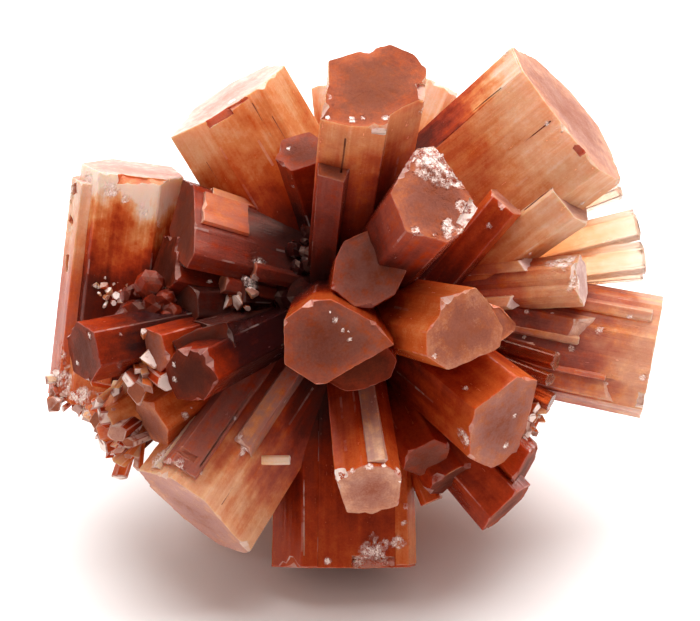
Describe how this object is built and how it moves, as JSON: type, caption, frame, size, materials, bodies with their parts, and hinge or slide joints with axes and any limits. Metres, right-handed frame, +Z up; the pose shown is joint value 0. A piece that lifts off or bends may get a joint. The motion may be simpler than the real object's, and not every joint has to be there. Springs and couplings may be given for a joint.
{
  "type": "aragonite sputnik cluster",
  "caption": "Ball-like cluster of flat-ended six-sided aragonite crystals radiating from one centre; stands on a small flat crystal end.",
  "frame": {"origin": "middle of the cluster's footprint, on the surface it rests on", "axes": "+Z up; the display side with the crystals that point out of the picture looks towards -Y and 30 degrees up; +X is to the right seen from there"},
  "size_m": [0.0494, 0.0424, 0.0459],
  "materials": {
    "aragonite": "translucent red-brown to orange crystal, waxy flat ends, finely striated sides, small bright chips at the edges"
  },
  "bodies": {
    "root": {"crystal_cluster": "aragonite"}
  },
  "joints": []
}
